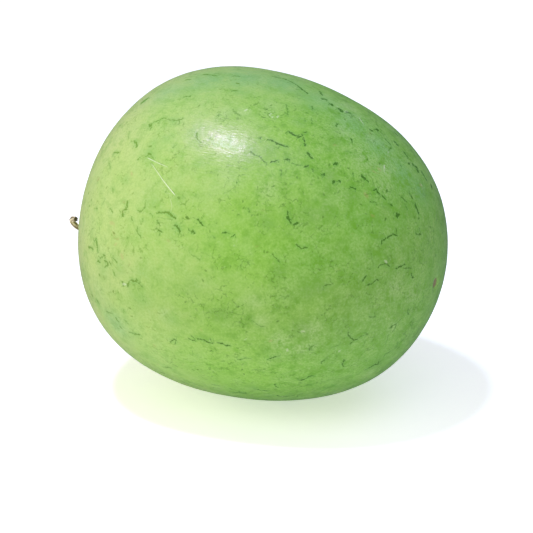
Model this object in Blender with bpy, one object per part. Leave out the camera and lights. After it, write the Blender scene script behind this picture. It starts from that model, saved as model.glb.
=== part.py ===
"""A whole pale green watermelon as picked, lying on its side, with its dried and curled stem.

The melon lies along X, its stem end towards -X and its blossom end towards +X.
The origin is under the middle of the whole object, on the surface that it rests on.
Units are metres, and +Z is up.
"""
import math

import bmesh
import bpy
from mathutils import Vector

# Driving dimensions of the melon
LENGTH = 0.289  # from pole to pole
WIDTH = 0.2575  # across the middle
TAPER = -0.10  # change of girth from the middle to the blossom end, as a share
FULLNESS = 0.17  # how much the shoulders stand out beyond an ellipsoid, as a share
SWELLS = 5  # faint lengthwise swells, one of them underneath
SWELL_HEIGHT = 0.0009
TILT = math.radians(6)  # the slimmer blossom end lies lower
REST_DEPTH = 0.0016  # how far the small resting spot is pressed in
REST_SNAP = 0.0004  # corners this near its plane are moved onto it

# The sunken stem end and the scar of the blossom
STEM_DIMPLE_DEPTH = 0.003
STEM_SEAT_RADIUS = 0.006
STEM_DIMPLE_RADIUS = 0.020
BLOSSOM_PIT_DEPTH = 0.0012
BLOSSOM_PIT_FLOOR = 0.002
BLOSSOM_PIT_RADIUS = 0.008

# The dried stem
STEM_GAP = 0.0003
STEM_RADIUS = 0.0021
STEM_RIBS = 5
STEM_RIB_HEIGHT = 0.10  # as a share of the radius
STEM_ROOT_FLARE = 0.9  # extra radius at the root, as a share
STEM_ROOT_LENGTH = 0.006
STEM_TIP_TAPER = 0.10  # loss of radius at the cut tip, as a share
STEM_TIP_LENGTH = 0.008

# Where the stem runs, in millimetres from the seat: outwards, to the side, and up
STEM_ROUTE_MM = (
    (0.0, 0.0, 0.0),
    (3.0, 0.1, -0.1),
    (6.5, 1.5, -2.2),
    (8.8, 5.0, -7.5),
    (9.8, 10.0, -14.0),
    (10.3, 15.0, -20.0),
    (11.0, 19.3, -23.2),
    (12.2, 22.4, -23.2),
    (14.0, 24.4, -21.6),
    (16.0, 26.0, -19.2),
    (16.9, 27.3, -16.6),
    (15.6, 28.6, -14.6),
    (13.4, 29.7, -13.4),
    (11.6, 30.5, -13.1),
)
MM = 0.001

# How finely the meshes are divided
MELON_SEGMENTS = 72
MELON_RINGS = 52
POLE_CROWDING = 0.55  # rings stand closer together at the two poles
ROUTE_STEPS = 3  # points along the stem for each stretch of its route
RIB_POINTS = 4  # points across each rib of the stem

RIND_GREEN = (0.33, 0.53, 0.16, 1.0)
STEM_BROWN = (0.26, 0.21, 0.11, 1.0)


def clear_scene():
    for old in list(bpy.data.objects):
        bpy.data.objects.remove(old, do_unlink=True)


def make_material(name, colour, roughness):
    material = bpy.data.materials.new(name)
    material.use_nodes = True
    shader = material.node_tree.nodes["Principled BSDF"]
    shader.inputs["Base Color"].default_value = colour
    shader.inputs["Roughness"].default_value = roughness
    shader.inputs["Metallic"].default_value = 0.0
    material.diffuse_color = colour
    return material


def fade(distance, start, end):
    """1 up to start, then a smooth fall to 0 at end."""
    share = min(max((distance - start) / (end - start), 0.0), 1.0)
    return 1 - share * share * (3 - 2 * share)


def melon_point(polar, around):
    """A point of the rind. polar runs from 0 at the blossom end to pi at the stem end."""
    along = math.cos(polar)
    girth = math.sin(polar)
    swell = SWELL_HEIGHT * girth * girth * math.cos(SWELLS * (around + math.pi / 2))
    radius = WIDTH / 2 * girth * (1 + TAPER * along + FULLNESS * along * along) + swell
    x = LENGTH / 2 * along
    if along < 0:
        x += STEM_DIMPLE_DEPTH * fade(radius, STEM_SEAT_RADIUS, STEM_DIMPLE_RADIUS)
    else:
        x -= BLOSSOM_PIT_DEPTH * fade(radius, BLOSSOM_PIT_FLOOR, BLOSSOM_PIT_RADIUS)
    return Vector((x, radius * math.cos(around), radius * math.sin(around)))


def cut_resting_spot(bm):
    """Cut the melon flat where it rests, seen in its own tilted frame."""
    down = Vector((math.sin(TILT), 0, -math.cos(TILT)))
    level = max(vertex.co.dot(down) for vertex in bm.verts) - REST_DEPTH
    everything = bm.verts[:] + bm.edges[:] + bm.faces[:]
    cut = bmesh.ops.bisect_plane(
        bm,
        geom=everything,
        dist=REST_SNAP,
        plane_co=down * level,
        plane_no=down,
        clear_outer=True,
    )
    rim = [item for item in cut["geom_cut"] if isinstance(item, bmesh.types.BMEdge)]
    for vertex in {vertex for edge in rim for vertex in edge.verts}:
        vertex.co -= down * (vertex.co.dot(down) - level)
    bmesh.ops.contextual_create(bm, geom=rim)


def make_fruit(collection, axis_frame, material):
    bm = bmesh.new()
    bmesh.ops.create_uvsphere(bm, u_segments=MELON_SEGMENTS, v_segments=MELON_RINGS, radius=1.0)
    for vertex in bm.verts:
        polar = math.acos(min(max(vertex.co.z, -1.0), 1.0))
        around = math.atan2(vertex.co.y, vertex.co.x)
        polar -= POLE_CROWDING / 2 * math.sin(2 * polar)
        vertex.co = melon_point(polar, around)
    for face in bm.faces:
        face.smooth = True
    cut_resting_spot(bm)
    bmesh.ops.recalc_face_normals(bm, faces=bm.faces)
    mesh = bpy.data.meshes.new("fruit")
    bm.to_mesh(mesh)
    bm.free()
    mesh.materials.append(material)
    fruit = bpy.data.objects.new("fruit", mesh)
    collection.objects.link(fruit)
    fruit.parent = axis_frame
    return fruit


def smooth_route(points, steps):
    """Points along a Catmull-Rom curve through the given points."""
    ends = [points[0] * 2 - points[1]] + list(points) + [points[-1] * 2 - points[-2]]
    route = []
    for before, start, end, after in zip(ends, ends[1:], ends[2:], ends[3:]):
        for step in range(steps):
            t = step / steps
            route.append(
                0.5
                * (
                    2 * start
                    + (end - before) * t
                    + (2 * before - 5 * start + 4 * end - after) * t**2
                    + (3 * start - before - 3 * end + after) * t**3
                )
            )
    route.append(points[-1])
    return route


def make_rib_section(guides):
    """The stem's cross-section, a ribbed ring of radius 1, as a guide curve."""
    count = STEM_RIBS * RIB_POINTS
    curve = bpy.data.curves.new("stem_section", "CURVE")
    curve.dimensions = "2D"
    ring = curve.splines.new("POLY")
    ring.points.add(count - 1)
    for number, point in enumerate(ring.points):
        angle = -2 * math.pi * number / count
        radius = 1 + STEM_RIB_HEIGHT * math.cos(STEM_RIBS * angle)
        point.co = (radius * math.cos(angle), radius * math.sin(angle), 0, 1)
    ring.use_cyclic_u = True
    section = bpy.data.objects.new("stem_section", curve)
    section.hide_render = True
    section.display_type = "WIRE"
    guides.objects.link(section)
    return section


def stem_radius(along, length):
    """The stem flares at its root, and narrows a little towards its cut tip."""
    root = STEM_ROOT_FLARE * fade(along, 0, STEM_ROOT_LENGTH)
    tip = STEM_TIP_TAPER * fade(length - along, 0, STEM_TIP_LENGTH)
    return STEM_RADIUS * (1 + root - tip)


def make_stem(collection, guides, axis_frame, material):
    seat = Vector((-LENGTH / 2 + STEM_DIMPLE_DEPTH - STEM_GAP, 0, 0))
    points = [seat + Vector((-out, -side, up)) * MM for out, side, up in STEM_ROUTE_MM]
    route = smooth_route(points, ROUTE_STEPS)
    distances = [0.0]
    for here, there in zip(route, route[1:]):
        distances.append(distances[-1] + (there - here).length)
    curve = bpy.data.curves.new("stem", "CURVE")
    curve.dimensions = "3D"
    curve.bevel_mode = "OBJECT"
    curve.bevel_object = make_rib_section(guides)
    curve.use_fill_caps = True
    line = curve.splines.new("POLY")
    line.points.add(len(route) - 1)
    for point, place, distance in zip(line.points, route, distances):
        point.co = (*place, 1)
        point.radius = stem_radius(distance, distances[-1])
    curve.materials.append(material)
    stem = bpy.data.objects.new("stem", curve)
    collection.objects.link(stem)
    stem.parent = axis_frame
    return stem


def stand_over_origin(axis_frame, pieces):
    """Move the melon so that the middle of its box's underside is at the origin."""
    bpy.context.view_layer.update()
    graph = bpy.context.evaluated_depsgraph_get()
    corners = []
    for piece in pieces:
        evaluated = piece.evaluated_get(graph)
        mesh = evaluated.to_mesh()
        corners += [evaluated.matrix_world @ vertex.co for vertex in mesh.vertices]
        evaluated.to_mesh_clear()
    lows = [min(corner[axis] for corner in corners) for axis in range(3)]
    highs = [max(corner[axis] for corner in corners) for axis in range(3)]
    axis_frame.location -= Vector(((lows[0] + highs[0]) / 2, (lows[1] + highs[1]) / 2, lows[2]))


def main():
    clear_scene()
    collection = bpy.data.collections.new("watermelon")
    guides = bpy.data.collections.new("guides")
    bpy.context.scene.collection.children.link(collection)
    bpy.context.scene.collection.children.link(guides)
    axis_frame = bpy.data.objects.new("melon_axis", None)
    axis_frame.rotation_euler = (0, TILT, 0)
    collection.objects.link(axis_frame)
    rind = make_material("rind", RIND_GREEN, 0.42)
    dry_stem = make_material("dry_stem", STEM_BROWN, 0.8)
    fruit = make_fruit(collection, axis_frame, rind)
    stem = make_stem(collection, guides, axis_frame, dry_stem)
    stand_over_origin(axis_frame, [fruit, stem])


main()
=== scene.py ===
"""The looks of a whole pale green watermelon and its dried stem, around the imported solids.

Lengths are metres unless a name ends in MM or a heading says millimetres.
Pixels are those of the photograph, 533 by 533.
"""
import math
import random

import bmesh
import bpy
import numpy as np
from mathutils import Matrix, Quaternion, Vector, noise
from mathutils.kdtree import KDTree


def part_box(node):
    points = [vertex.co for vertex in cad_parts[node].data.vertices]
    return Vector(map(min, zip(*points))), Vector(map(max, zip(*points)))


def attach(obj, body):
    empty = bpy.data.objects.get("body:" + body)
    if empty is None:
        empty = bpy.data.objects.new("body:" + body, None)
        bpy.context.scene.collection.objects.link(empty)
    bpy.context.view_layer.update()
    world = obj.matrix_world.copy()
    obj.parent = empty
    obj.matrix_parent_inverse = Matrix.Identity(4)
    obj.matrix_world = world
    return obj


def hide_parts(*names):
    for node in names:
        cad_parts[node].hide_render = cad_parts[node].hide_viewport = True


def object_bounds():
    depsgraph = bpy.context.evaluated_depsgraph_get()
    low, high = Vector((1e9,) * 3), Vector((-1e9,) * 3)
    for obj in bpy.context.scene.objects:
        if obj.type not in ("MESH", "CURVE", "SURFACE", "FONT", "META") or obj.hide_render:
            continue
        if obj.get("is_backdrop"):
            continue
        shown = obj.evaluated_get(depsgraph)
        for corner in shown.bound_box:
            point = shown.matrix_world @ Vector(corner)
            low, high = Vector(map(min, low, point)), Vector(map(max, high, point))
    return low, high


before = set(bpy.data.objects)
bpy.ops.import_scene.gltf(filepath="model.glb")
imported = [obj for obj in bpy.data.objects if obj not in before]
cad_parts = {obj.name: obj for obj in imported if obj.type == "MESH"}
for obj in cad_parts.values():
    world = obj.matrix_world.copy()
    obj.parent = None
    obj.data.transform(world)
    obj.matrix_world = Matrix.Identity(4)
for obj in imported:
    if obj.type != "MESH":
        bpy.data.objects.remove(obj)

CAD_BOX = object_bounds()
MM = 0.001

# The melon's shape, the same as its solid's
LENGTH = 0.289
WIDTH = 0.2575
TAPER = -0.10
FULLNESS = 0.17
SWELLS = 5
SWELL_HEIGHT = 0.0009
TILT = math.radians(6)
STEM_DIMPLE_DEPTH = 0.003
STEM_SEAT_RADIUS = 0.006
STEM_DIMPLE_RADIUS = 0.020
BLOSSOM_PIT_DEPTH = 0.0012
BLOSSOM_PIT_FLOOR = 0.002
BLOSSOM_PIT_RADIUS = 0.008
REST_DEPTH = 0.0016

# How finely the rind is divided, and its slight unevenness
RIND_SEGMENTS = 400
RIND_RINGS = 236
POLE_CROWDING = 0.30
BROAD_RELIEF = (0.045, 0.00040)  # wavelength and height
SMALL_RELIEF = (0.011, 0.00010)

# The stem's shape, the same as its solid's
STEM_RADIUS = 0.0021
STEM_RIBS = 5
STEM_ROOT_FLARE = 0.9
STEM_ROOT_LENGTH = 0.006
STEM_TIP_TAPER = 0.10
STEM_TIP_LENGTH = 0.008
STEM_GAP = 0.0003
STEM_ROUTE_MM = (
    (0.0, 0.0, 0.0),
    (3.0, 0.1, -0.1),
    (6.5, 1.5, -2.2),
    (8.8, 5.0, -7.5),
    (9.8, 10.0, -14.0),
    (10.3, 15.0, -20.0),
    (11.0, 19.3, -23.2),
    (12.2, 22.4, -23.2),
    (14.0, 24.4, -21.6),
    (16.0, 26.0, -19.2),
    (16.9, 27.3, -16.6),
    (15.6, 28.6, -14.6),
    (13.4, 29.7, -13.4),
    (11.6, 30.5, -13.1),
)

# Finer detail of the stem
STEM_SINK = 0.0008  # how deep its root goes into the rind
STEM_SIDES = 40
STEM_STEPS = 16  # points along each stretch of the route
STEM_RIB_HEIGHT = 0.13
STEM_TWIST = 55.0  # radians of turn for each metre
STEM_KNOBBLES = 0.22
STEM_KNOB_LENGTH = 0.004
STEM_KNOB_TURN = 1.3  # how fast the knobbles change round the stem
STEM_CUT_RINGS = (0.8, 0.55, 0.25)  # rings of the cut face, as shares of the radius
STEM_CUT_DEPTH = 0.0008

# The camera, as the photograph was taken
PHOTO_SIZE = 533
CAMERA_DISTANCE = 1.75
CAMERA_AZIMUTH = math.radians(25)
CAMERA_ELEVATION = math.radians(20)
CAMERA_LENS = 150
CAMERA_SENSOR = 36
AIM_RIGHT = 0.0008
AIM_DOWN = 0.0236
MM_PER_PIXEL = 0.788

# Dark veins that the photograph shows: across and down in its pixels, from corner to corner
BOLD_VEINS = (
    (168.5, 212.8, 171.5, 215.2, 175, 217.9), (175.2, 225, 177, 226.6, 178.6, 229.4, 180, 231.2),
    (192, 231.4, 194, 231.9, 194, 233.4), (125.2, 209.4, 126.7, 208.6), (122.8, 213.8, 123, 215.8),
    (287.5, 217.5, 289, 219.5, 290.2, 221.8), (294, 223.9, 297.5, 222.8), (362.3, 175.6, 364.6, 178.6),
    (397, 213.8, 397.6, 216.8), (333.2, 182.8, 334, 181.2), (339.2, 181, 339.8, 181.6),
    (276.2, 142.9, 280, 144.9), (308.5, 153, 309.5, 155.2), (334.4, 164.7, 336.6, 162.9),
    (340.3, 109.4, 341.4, 111.3), (322.6, 174.6, 324.4, 174.6), (376, 128.9, 377.9, 130.4),
    (141.5, 103.2, 144.5, 100.9, 147.5, 98.6),
)
STRONG_VEINS = (
    (127.4, 202, 127, 206, 125.6, 209.2), (122.6, 210.8, 123, 215.4),
    (157.7, 212.9, 162.7, 212.1, 167.7, 212.5, 171.8, 215.4, 175.2, 217.7),
    (157.8, 220.5, 158.3, 222.7, 159.4, 223.4), (158.9, 230, 161.8, 231.9), (189.8, 231.2, 193.5, 231.3),
    (197, 219.4, 199, 220.7, 201, 222.8, 202.9, 225), (196.4, 132.3, 196.5, 136.4),
    (303.8, 139.9, 304.6, 141), (304.6, 144, 305, 145.2),
    (267.8, 139.9, 272, 140.1, 276, 142.9, 280.2, 145, 283.5, 145.9, 287.6, 146.7),
    (270.9, 161.9, 274.3, 161.6, 278, 160.3), (284.8, 159.2, 289.2, 159.5), (304.6, 166.2, 308.2, 166.2),
    (306.2, 153.2, 309.3, 154.3, 309.8, 157, 312.9, 158), (287.6, 212, 287.9, 217.4, 290.3, 222),
    (293.6, 224.3, 297.4, 222.8), (223, 233, 226.6, 232.3, 230.2, 233.6), (231.6, 236, 234.6, 235),
    (338.9, 108.6, 341.8, 111.8), (394.4, 141.3, 397.6, 145.2), (364.3, 178.4, 367.9, 181.4),
    (350.6, 186.7, 355.6, 189), (373.9, 190.2, 376.2, 189.3, 377.3, 191.3, 379.3, 194),
    (382.6, 195.7, 385.4, 198.9), (415.4, 204.4, 416.6, 208.8, 418.4, 213.4),
    (288.9, 131.3, 292.8, 134.4, 295.4, 135.8), (297.2, 136.8, 301.4, 136.7),
    (345.6, 112.2, 351.2, 113.4), (412.8, 164.4, 416.8, 167.5, 417.9, 171.4),
    (149.2, 124.8, 150.4, 126.2), (134.6, 141.2, 136.2, 143, 136.6, 146.4), (95.9, 239, 96.7, 242.7),
    (122.6, 281.8, 123.6, 285.6), (127.2, 286.4, 128.4, 283.6),
    (130.8, 280.4, 134.4, 281.5, 137.6, 282, 136.6, 279.4), (103.6, 255.2, 104.8, 255.6),
    (104.8, 260.8, 106.8, 261.6), (148.2, 153.9, 149.6, 153.3, 150.9, 154.6),
)
PLAIN_VEINS = (
    (291.8, 162.8, 295.3, 164.8, 299.3, 165.7, 303.3, 164.8), (284.2, 78.9, 286.8, 79.6),
    (291, 81.8, 294.5, 83.6), (299.6, 87.3, 303.4, 90.4, 307.6, 93.5), (151.9, 123.4, 150.4, 129.8),
    (153.2, 122.3, 156.4, 121.4, 160.4, 119.9, 163.4, 117.9, 165.9, 118.2),
    (167.9, 119.5, 171.4, 119.7, 175.4, 120.5, 179.4, 119.9, 183.4, 117.9), (179.4, 120.2, 179.4, 123.6),
    (145.4, 156.9, 147.9, 154.7), (150.9, 154.6, 152.4, 157.4, 153.9, 159.9),
    (137.4, 159.8, 140.7, 157.3),
    (145.8, 200.9, 145.4, 204.4, 145.1, 207.4, 143.4, 209.9, 140.4, 211.4, 137.4, 210.4),
    (149.7, 213.8, 151.9, 214.2, 152.7, 217.4), (159.6, 233.4, 159.3, 235.4),
    (160.2, 222.8, 164.4, 222.9), (179.8, 231.2, 179.4, 233.9), (132, 216.7, 131.4, 219, 133, 221.5),
    (143.6, 218.3, 142.2, 219.4, 142.7, 221.5),
    (137.7, 226.9, 137.3, 229.9, 137, 232.2, 139.1, 234.6, 140.9, 237.4),
    (196.5, 136.4, 197.9, 139.4, 200.4, 142.4), (96.7, 242.7, 97.4, 247.4, 97.9, 252.4),
    (98.7, 256.4, 100.1, 258.4, 101.9, 256.9, 104.4, 255.6), (97.4, 260.9, 100.4, 262.2),
    (104.7, 260.8, 106.7, 261.7, 108.2, 264.4, 105.2, 267.4), (109.4, 261.9, 111.9, 265.9),
    (113.1, 258.4, 114.7, 260.4, 117.1, 262.2), (112.9, 270.2, 114.6, 274.4, 115.7, 276.4),
    (88.6, 247, 90.9, 247.6, 93.2, 249.4), (110, 208.5, 111.7, 210.8, 112.5, 212.5),
    (128.4, 283.6, 129.4, 281), (138, 282.4, 140.2, 284.6, 142.9, 287.2), (96.4, 299.4, 98.9, 303.4),
    (115.9, 318.4, 118.9, 321.9), (124.9, 320.4, 127.9, 323.4), (129.3, 332, 133.5, 333.8, 140.2, 334.6),
    (203.4, 74.4, 210.4, 74.9, 216.4, 75.9), (185.4, 79.9, 190.4, 79.4), (232.7, 76, 239.3, 76.2),
    (232.4, 90.9, 236.9, 90.4), (183.4, 96.9, 190.4, 95.9), (216.9, 115.8, 219.9, 114.4),
    (319.9, 91.4, 322.2, 95.4), (321.2, 98.8, 325.2, 99.1, 327.4, 100.2), (329.4, 103.4, 332.4, 104.9),
    (301.9, 134.4, 304, 138.4), (303.9, 132.9, 307.4, 131.7),
    (250.7, 151.7, 253.4, 154.2, 258.4, 155.9, 261.4, 158.4, 263.4, 160.4, 266.9, 164.4),
    (262.9, 159.9, 266.9, 164.2), (257.7, 137.7, 259.4, 139.4, 261.4, 136.9),
    (237.2, 180.4, 236.4, 184.4), (281.3, 175.6, 280.7, 169.6), (312.2, 169.3, 312.9, 171.4),
    (248.9, 208.4, 248.9, 211.9), (336.9, 123.4, 336.4, 126.4),
    (385.4, 138.9, 389.9, 144.4, 390.9, 145.4), (394.4, 132.4, 397.4, 135.4),
    (403.9, 152.2, 407.7, 157.2), (421.4, 171.4, 424.4, 176.4, 426.9, 180.9),
    (351.4, 138.9, 351.9, 142.6), (352.7, 173.4, 353.4, 176.4),
    (401.7, 197.2, 404.8, 200.4, 406.4, 201.9), (370.2, 201.9, 375.9, 202.2),
    (388.4, 203.4, 391.4, 204.9), (113.8, 152.4, 118.8, 152.7), (213.4, 235.9, 214.9, 237.9),
    (165.4, 192.4, 166.4, 190.9),
)
FAINT_VEINS = (
    (271.4, 75.9, 277.4, 77.4, 284.4, 78.9, 290.4, 81.4, 294.4, 83.4, 299.9, 87.4),
    (130.4, 141.4, 134.4, 141.2), (129.9, 131.4, 128.9, 134.4, 128.4, 138.4),
    (188.5, 131.9, 192.7, 130.2), (172.4, 147.4, 176.9, 144.4), (170.9, 135.4, 173.9, 136.9),
    (275, 147.4, 272.9, 149.4), (281.4, 175.4, 284.9, 174.4, 286.9, 169.4),
    (271.4, 170.9, 272.4, 174.9, 274.9, 175.9), (223.4, 193.6, 230.4, 190.8),
    (344.3, 150.9, 351.8, 152.4), (388.4, 191.4, 392.4, 192.4),
    (285.9, 104.4, 287.4, 109.4, 287.9, 116.4), (131, 269, 132, 271.5), (128.7, 266.5, 129.2, 264.5),
    (123.4, 309.4, 123.9, 312.4), (94.6, 208.3, 97.6, 208.6), (104.8, 199, 103.5, 203.5, 101.5, 205.5),
    (106.4, 311.4, 112.9, 313.9), (124.1, 200.5, 124.2, 204), (112.8, 187.5, 113, 192.5),
    (157.5, 215.5, 157, 222, 156.8, 229), (180.5, 226.5, 183.5, 225.5), (202.9, 225.2, 206.6, 227),
    (191, 217, 196.6, 219.4), (183.5, 195.5, 183, 198.5), (192.5, 198, 195.5, 195, 198.5, 198.5),
    (199, 203.5, 204, 200.5), (208.4, 193.9, 210.9, 195.9), (289.4, 183.9, 293.4, 183.4),
    (312.4, 199.4, 316.4, 199.1), (312.9, 171.4, 316.4, 169.9), (242.9, 168.9, 246.4, 168.4),
    (409.4, 191.4, 409.9, 195.4), (404.4, 203.4, 407.4, 209.4), (391.4, 147.4, 388.4, 150.4),
    (312.2, 105.9, 312.4, 109.4), (311.4, 118.4, 311.9, 123.4), (304.9, 118.4, 304.9, 121.4),
    (108.9, 162.4, 110.4, 168.4),
)

# Spots and patches that the photograph shows: across, down and radius in its pixels
DARK_SPOTS = (
    (150, 125.8, 1.2), (183.5, 124.2, 1.2), (116, 152.6, 0.9), (150.4, 146.4, 1.4), (144.4, 128.4, 0.8),
    (136.4, 128.9, 0.8), (98, 176.9, 0.7), (98, 180.3, 0.9), (120.1, 211.1, 1.2), (125.4, 180.4, 0.9),
    (122.9, 183.9, 0.9), (106.7, 187.4, 1.1), (140.4, 211.5, 1.4), (141, 224, 1.1), (187.6, 218.1, 1.8),
    (97.2, 200.6, 0.9), (91.6, 200.2, 0.9), (108, 206.5, 0.9), (89.7, 205.9, 0.9), (96.2, 207.7, 0.9),
    (88.6, 193, 1), (113, 192, 1), (132.8, 193.4, 1.1), (129.3, 190.4, 0.8), (144.7, 179.9, 0.9),
    (127.4, 238, 1.1), (143.2, 237.4, 0.8), (113.9, 232.9, 1.4), (111.9, 235.4, 0.9), (88.6, 247, 0.8),
    (92.7, 249, 1), (133.4, 250.7, 1.3), (124.4, 250.6, 1.1), (126.4, 255.4, 0.9), (140.9, 257.9, 1.3),
    (121.7, 264.6, 0.9), (127.2, 272.7, 0.9), (99.4, 274.9, 1.2), (107.9, 264.4, 1.4), (92.4, 295.4, 1.1),
    (113.4, 291.4, 1.3), (118.2, 292.4, 0.9), (131.7, 316.2, 1.1), (129.9, 308.4, 1.2), (121, 327.5, 1.2),
    (141.4, 338.8, 1), (201.8, 218.1, 1.1), (209.9, 231.4, 1.1), (254.6, 105.2, 0.9), (271.2, 105.2, 1),
    (274.9, 126.9, 1), (263.9, 117.4, 1.1), (266.4, 109.4, 1.1), (237.9, 83.4, 1.4), (220.9, 118.9, 0.8),
    (224.9, 118.4, 0.8), (198.9, 105.9, 1.2), (209.9, 138.4, 1.1), (219.2, 111.4, 0.9), (306.9, 112.9, 1),
    (311.7, 123.4, 0.9), (337.9, 123.4, 0.9), (344.9, 119.4, 1), (351.9, 116, 0.9), (215.6, 154, 1),
    (257.5, 188.3, 1.2), (273.3, 186.3, 1.2), (299.6, 188.4, 1), (310.3, 194.5, 0.9), (311.5, 184.5, 0.9),
    (303.4, 192.4, 0.9), (323.9, 194.5, 1.2), (256.9, 204.8, 1.1), (242.9, 201.5, 1.1),
    (243.5, 207.9, 1.2), (251.7, 215.5, 1.1), (238.3, 214.6, 1), (232.9, 210.4, 0.9), (282.7, 204.4, 1.3),
    (289.9, 202.6, 1), (296.9, 177.5, 1.1), (284.9, 197.4, 1), (216.4, 223.4, 0.9), (154.9, 206.9, 1.2),
    (155.4, 182.9, 0.9), (178.9, 197.9, 1.5), (329.4, 164.9, 1.2), (348.2, 168.2, 1.2),
    (357.9, 181.2, 1.1), (361.4, 180.6, 1.1), (331.9, 104.7, 1.5), (359.4, 119.9, 0.9),
    (366.4, 121.9, 0.9), (371.4, 130.4, 1.4), (370.4, 133.4, 0.9), (408.9, 163.5, 1.3),
    (379.6, 163.4, 1.1), (367.4, 159.6, 1.1), (400.9, 165.9, 1), (386.9, 191, 1.4), (411.9, 197.4, 1.4),
    (385.5, 219.3, 1.4), (393.6, 218.4, 1), (397.6, 215.4, 2.2), (391.4, 205, 1.5), (360.8, 204.4, 1.1),
    (376.4, 204.4, 1), (431.4, 186.2, 1.5), (418.7, 218.4, 1.1), (414.4, 217.4, 1), (366, 213.8, 1),
    (322.9, 217, 1.3),
)
PALE_SPOTS = (
    (342.3, 109.2, 1), (345.6, 112, 1), (387, 154, 1.5), (271.8, 114.8, 1.5), (277.7, 116.8, 1.3),
    (246, 110, 1.4), (124.3, 284.2, 1.6), (384.4, 167.2, 1.2), (388.4, 152.2, 0.9), (421.4, 184.9, 0.9),
    (340.9, 107.6, 0.8), (337.4, 106.2, 0.8),
)
RUSSET_SPOTS = (
    (366.2, 195.2, 2.6), (375.5, 171.4, 2.2), (379.4, 169.4, 1.6), (372.7, 215.6, 1.7),
    (420.9, 185.3, 1.6), (334.7, 145, 1.4), (263, 210, 1.1), (113.9, 233.3, 1.6), (88.5, 246.9, 1.2),
    (370.2, 133.4, 1.1), (98.2, 179.4, 1.8), (168.5, 240.8, 1.6), (122, 256.4, 2.4), (117.9, 240.4, 1.8),
    (115.4, 244.4, 1.6), (124.2, 202, 1.5), (131.7, 173.9, 1.8), (122.8, 212.6, 1.8), (129.2, 265, 1.2),
    (112, 223, 2.4),
)
# Dull green patches: partly the rind's own mottling, partly painted shade on the lower left and the lower
# middle
DULL_AND_SHADED_PATCHES = (
    (166, 138, 7), (154, 143, 6), (199, 163, 6), (154, 203, 7), (179, 198, 6), (173.5, 122, 5),
    (126, 180, 5), (98, 303, 6), (147, 356, 6), (310, 108, 9), (270, 88, 9), (238, 84, 8), (300, 122, 8),
    (335, 142, 7), (352, 196, 8), (385, 212, 8), (176, 226, 7), (330, 175, 7), (290, 216, 8),
    (190, 88, 12), (215, 80, 12), (245, 79, 14), (274, 84, 14), (302, 95, 11), (270, 150, 9),
    (310, 215, 11), (150, 152, 10), (198, 130, 10), (242, 92, 9), (284, 90, 8), (140, 298, 12),
    (120, 268, 9), (250, 152, 9), (326, 211, 11), (80, 262, 8), (268, 222, 9), (405, 208, 8),
    (424, 194, 7), (84, 274, 8), (103, 270, 9), (142, 272, 8), (143, 300, 9),
)
# Pale patches: partly waxy bloom, partly painted light on the upper right rim and the lower left
PALE_AND_LIT_PATCHES = (
    (228, 178, 14), (270, 108, 11), (268, 190, 11), (352, 115, 9), (384, 170, 9), (412, 162, 8),
    (120, 330, 13), (98, 290, 10), (362, 158, 13), (342, 130, 11), (384, 186, 9), (350, 108, 10),
    (226, 112, 8), (243, 112, 8), (372, 140, 9),
)
# Painted reflection of the sky: bluish patches along the top, the upper right rim and the lower left rim
SKY_REFLECTION_PATCHES = (
    (168, 92, 20), (205, 80, 26), (245, 77, 28), (285, 83, 26), (322, 101, 24), (352, 122, 22),
    (380, 146, 20), (402, 170, 18), (420, 190, 13), (115, 322, 18),
)

# Scratches that it shows, and how strong each is at its two ends
SCRATCHES = (
    (148.5, 158.3, 157, 162.5, 166.8, 166.7),
    (151.8, 164.2, 157, 171.5, 162.7, 180, 169.3, 188.3, 174.3, 194.2), (170.5, 200, 172, 206, 171, 211),
    (359.8, 118.8, 363.5, 124.2), (384.4, 166, 384, 169, 384.3, 171.4), (345.4, 110.4, 347.4, 111.4),
)
SCRATCH_STRENGTHS = ((0.75, 0.4), (0.4, 0.95), (0.3, 0.15), (0.7, 0.5), (0.6, 0.4), (0.6, 0.6))

# The lower edge of the rind that the photograph shows
SHOWN_ABOVE = ((0, 533), (146, 400), (150, 262), (235, 240), (330, 228), (533, 224))
LEAST_FACING = 0.10
MOST_WIDENING = 2.0
LINE_WIDENING = 0.7  # powers of the slant
SPOT_WIDENING = 0.4

# How far a mark's field reaches round it, and its layers, which keep near neighbours apart
FIELD_CORE_MM = 2.4
FIELD_REACH_MM = 4.6
END_TAPER_MM = 2.0
FAR_MM = 9.0
FAR_FROM_ENDS_MM = 200.0
VEIN_LAYERS = 3
SPOT_LAYERS = 2
SCRATCH_LAYERS = 2
VEIN_STRENGTHS = (1.5, 1.05, 0.64, 0.42)
SPOT_TURN = 2.4  # radians from one spot's long way to the next one's

# Marks on the sides that the photograph doesn't show
MARK_SEED = 7
VEIN_ROWS = 11
ROW_SHIFT = 0.2  # as a share of the gap between two rows
ROW_SPREAD = 0.11
ROW_START = 0.22  # radians from either pole
VEIN_GAP = (0.035, 0.125)
VEIN_STEPS = (2, 6)
VEIN_STEP_MM = (1.4, 3.6)
HEADING_SPREAD = 0.6  # radians from lengthways
BEND_SPREAD = 0.55  # radians from step to step
LEAST_GIRTH = 0.1
OTHER_VEIN_STRENGTHS = (0.4, 0.55, 0.7, 0.85, 1.0)
SPUR_SHARE = 0.3
SPUR_TURN = 1.1
SPUR_STEPS = 2
SPUR_STRENGTH = 0.8
VEIN_ROOM = 1.6 * FIELD_REACH_MM * MM
SPOT_ROOM = 2 * FIELD_REACH_MM * MM
FURTHEST_ALONG = 0.98
DARK_SPOT_COUNT = 420
DARK_RADIUS_MM = (0.45, 1.1)
OTHER_SPOT_COUNT = 40
OTHER_RADIUS_MM = (0.6, 1.5)
PATCH_COUNT = 60
PATCH_RADIUS = (0.004, 0.008)

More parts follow.
